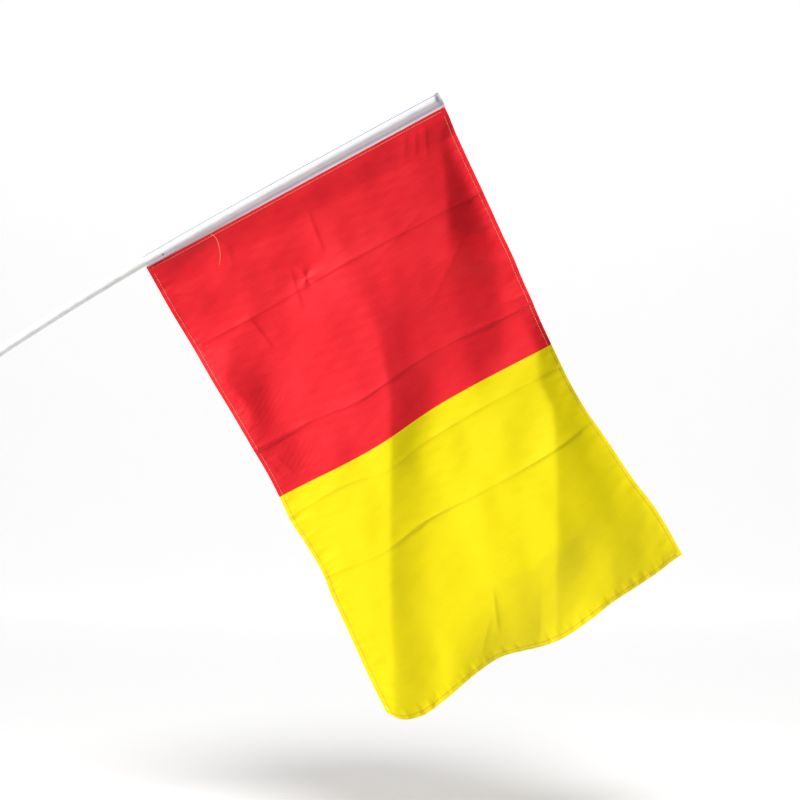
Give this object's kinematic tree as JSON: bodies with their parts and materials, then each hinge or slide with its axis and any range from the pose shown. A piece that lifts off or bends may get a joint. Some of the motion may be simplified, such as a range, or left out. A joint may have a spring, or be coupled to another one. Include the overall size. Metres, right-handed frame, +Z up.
{
  "type": "hand-waving flag on a stick",
  "caption": "Oblong two-colour cloth flag, red over yellow, hanging from a white sleeve on a slim, slightly bowed white plastic stick held out at a slant.",
  "frame": {"origin": "middle of the hand grip, on the stick's axis, 60 mm from its lower end", "axes": "+Z up as the flag is held out; +X from the hand towards the tip's side; the cloth hangs in the XZ plane and its front faces -Y"},
  "size_m": [0.7425, 0.0271, 0.5646],
  "materials": {
    "stick": "satin",
    "cap": "satin",
    "sleeve_cloth": "matte",
    "tack": "satin",
    "white_thread": "satin",
    "red_cloth": "satin",
    "yellow_cloth": "satin",
    "orange_thread": "satin"
  },
  "bodies": {
    "stick": {"stick_tube": "stick", "tip_cap": "cap", "butt_cap": "cap", "sleeve": "sleeve_cloth", "sleeve_tack": "tack", "end_thread": "white_thread"},
    "red_half": {"red_field": "red_cloth", "seam_thread": "orange_thread", "hem_thread_inner_red": "orange_thread", "hem_thread_outer_red": "orange_thread", "loose_thread": "orange_thread"},
    "yellow_half": {"yellow_field": "yellow_cloth", "hem_thread_inner_yellow": "orange_thread", "hem_thread_outer_yellow": "orange_thread", "hem_thread_fly": "orange_thread"}
  },
  "joints": [
    {"name": "cloth_swing", "type": "hinge", "parent": "stick", "child": "red_half", "pos_m": [0.33984, 0, 0.19719], "axis": [0.8796, 0, 0.4756], "range_deg": [-90, 90]},
    {"name": "cloth_fold", "type": "hinge", "parent": "red_half", "child": "yellow_half", "pos_m": [0.45228, 0, -0.01076], "axis": [0.8796, 0, 0.4756], "range_deg": [-150, 150]}
  ]
}
